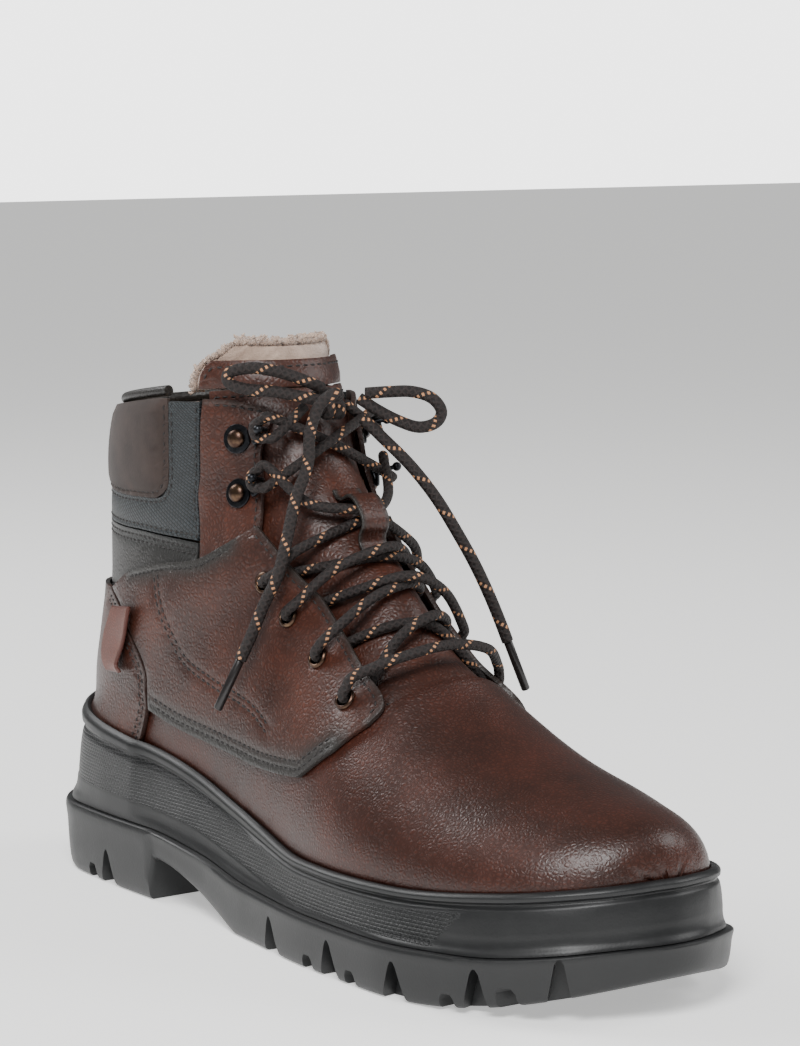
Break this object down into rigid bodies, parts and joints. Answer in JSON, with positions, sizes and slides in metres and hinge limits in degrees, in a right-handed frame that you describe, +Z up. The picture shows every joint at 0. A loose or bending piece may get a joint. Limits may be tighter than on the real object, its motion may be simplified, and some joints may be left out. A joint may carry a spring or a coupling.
{
  "type": "insulated lace-up boot",
  "caption": "Ankle-high insulated winter lace-up boot, right foot: leather upper, fleece lining, padded collar, eyelets and hooks, lugged rubber cup sole.",
  "frame": {"origin": "centre of the bounding box on the ground under the sole", "axes": "+Z up, toe towards -Y, heel towards +Y, outer side of the foot towards -X (right boot)"},
  "size_m": [0.1074, 0.312, 0.194],
  "materials": {
    "sole_rubber": "moulded charcoal rubber, matt",
    "milled_leather": "milled reddish-brown leather, dark burnish at the seams, semi-matt",
    "burnished_leather": "dark grey burnished leather, semi-matt",
    "nubuck": "buffed nubuck, matt",
    "embossed_synthetic": "slate woven synthetic with small embossed dashes, matt",
    "fleece_pile": "short curly pile, matt",
    "foam_padding": "open-cell foam, hidden",
    "fibre_board": "pressed fibre board, hidden",
    "shank_steel": "pressed spring steel, hidden",
    "bronzed_metal": "antiqued bronze plating, satin",
    "gunmetal": "blackened steel, satin",
    "braided_lace": "round braided polyester, near black with copper and beige flecks",
    "aglet_plastic": "dark crimped tip",
    "label_leather": "reddish tan leather, plain"
  },
  "bodies": {
    "boot": {"aglet_inner": "aglet_plastic", "aglet_outer": "aglet_plastic", "backstay": "burnished_leather", "collar_overlay": "embossed_synthetic", "collar_padding": "foam_padding", "collar_panel": "nubuck", "eyelet_inner_1": "bronzed_metal", "eyelet_inner_2": "bronzed_metal", "eyelet_inner_3": "bronzed_metal", "eyelet_inner_4": "bronzed_metal", "eyelet_outer_1": "bronzed_metal", "eyelet_outer_2": "bronzed_metal", "eyelet_outer_3": "bronzed_metal", "eyelet_outer_4": "bronzed_metal", "heel_cover_inner": "milled_leather", "heel_cover_outer": "milled_leather", "heel_stiffener": "fibre_board", "hook_plate_inner_lower": "gunmetal", "hook_plate_inner_upper": "gunmetal", "hook_plate_outer_lower": "gunmetal", "hook_plate_outer_upper": "gunmetal", "hook_rivet_inner_lower": "bronzed_metal", "hook_rivet_inner_upper": "bronzed_metal", "hook_rivet_outer_lower": "bronzed_metal", "hook_rivet_outer_upper": "bronzed_metal", "insole_board": "fibre_board", "lace_end_inner": "braided_lace", "lace_end_outer": "braided_lace", "lace_keeper": "milled_leather", "lace_knot": "braided_lace", "lace_loop_inner": "braided_lace", "lace_loop_outer": "braided_lace", "lacing": "braided_lace", "midsole": "sole_rubber", "outsole": "sole_rubber", "quarter_inner": "milled_leather", "quarter_lining_inner": "fleece_pile", "quarter_lining_outer": "fleece_pile", "quarter_outer": "milled_leather", "rear_band": "milled_leather", "shaft_lining": "fleece_pile", "shaft_panel_inner": "milled_leather", "shaft_panel_outer": "milled_leather", "shank": "shank_steel", "toe_puff": "fibre_board", "tongue": "milled_leather", "tongue_lining": "fleece_pile", "tongue_padding": "foam_padding", "top_binding": "burnished_leather", "vamp": "milled_leather", "vamp_lining": "fleece_pile"},
    "footbed": {"footbed": "fleece_pile"},
    "tongue_flap": {"tongue_top": "milled_leather", "tongue_top_lining": "fleece_pile"},
    "label_tab": {"side_tab": "label_leather"},
    "hook_outer_lower": {"hook_frame_outer_lower": "gunmetal"},
    "hook_outer_upper": {"hook_frame_outer_upper": "gunmetal"},
    "hook_inner_lower": {"hook_frame_inner_lower": "gunmetal"},
    "hook_inner_upper": {"hook_frame_inner_upper": "gunmetal"}
  },
  "joints": [
    {"name": "footbed_lift", "type": "hinge", "parent": "boot", "child": "footbed", "pos_m": [0.00275, -0.1305, 0.0285], "axis": [1, 0, 0], "range_deg": [0, 3]},
    {"name": "tongue_fold", "type": "hinge", "parent": "boot", "child": "tongue_flap", "pos_m": [0.00275, 0.061, 0.1765], "axis": [-1, 0, 0], "range_deg": [0, 15]},
    {"name": "label_flap", "type": "hinge", "parent": "boot", "child": "label_tab", "pos_m": [-0.03699, 0.10317, 0.08765], "axis": [-0.0831, 0.0473, -0.9954], "range_deg": [0, 15]},
    {"name": "hook_swing_outer_lower", "type": "hinge", "parent": "boot", "child": "hook_outer_lower", "pos_m": [-0.02357, 0.03358, 0.1471], "axis": [-0.0499, -0.4574, -0.8878], "range_deg": [0, 10]},
    {"name": "hook_swing_outer_upper", "type": "hinge", "parent": "boot", "child": "hook_outer_upper", "pos_m": [-0.02155, 0.03584, 0.16448], "axis": [0.0504, -0.3065, -0.9505], "range_deg": [0, 10]},
    {"name": "hook_swing_inner_lower", "type": "hinge", "parent": "boot", "child": "hook_inner_lower", "pos_m": [0.02747, 0.0333, 0.14719], "axis": [-0.0201, 0.4476, 0.894], "range_deg": [0, 10]},
    {"name": "hook_swing_inner_upper", "type": "hinge", "parent": "boot", "child": "hook_inner_upper", "pos_m": [0.02548, 0.03561, 0.16459], "axis": [0.0381, 0.3124, 0.9492], "range_deg": [0, 10]}
  ]
}
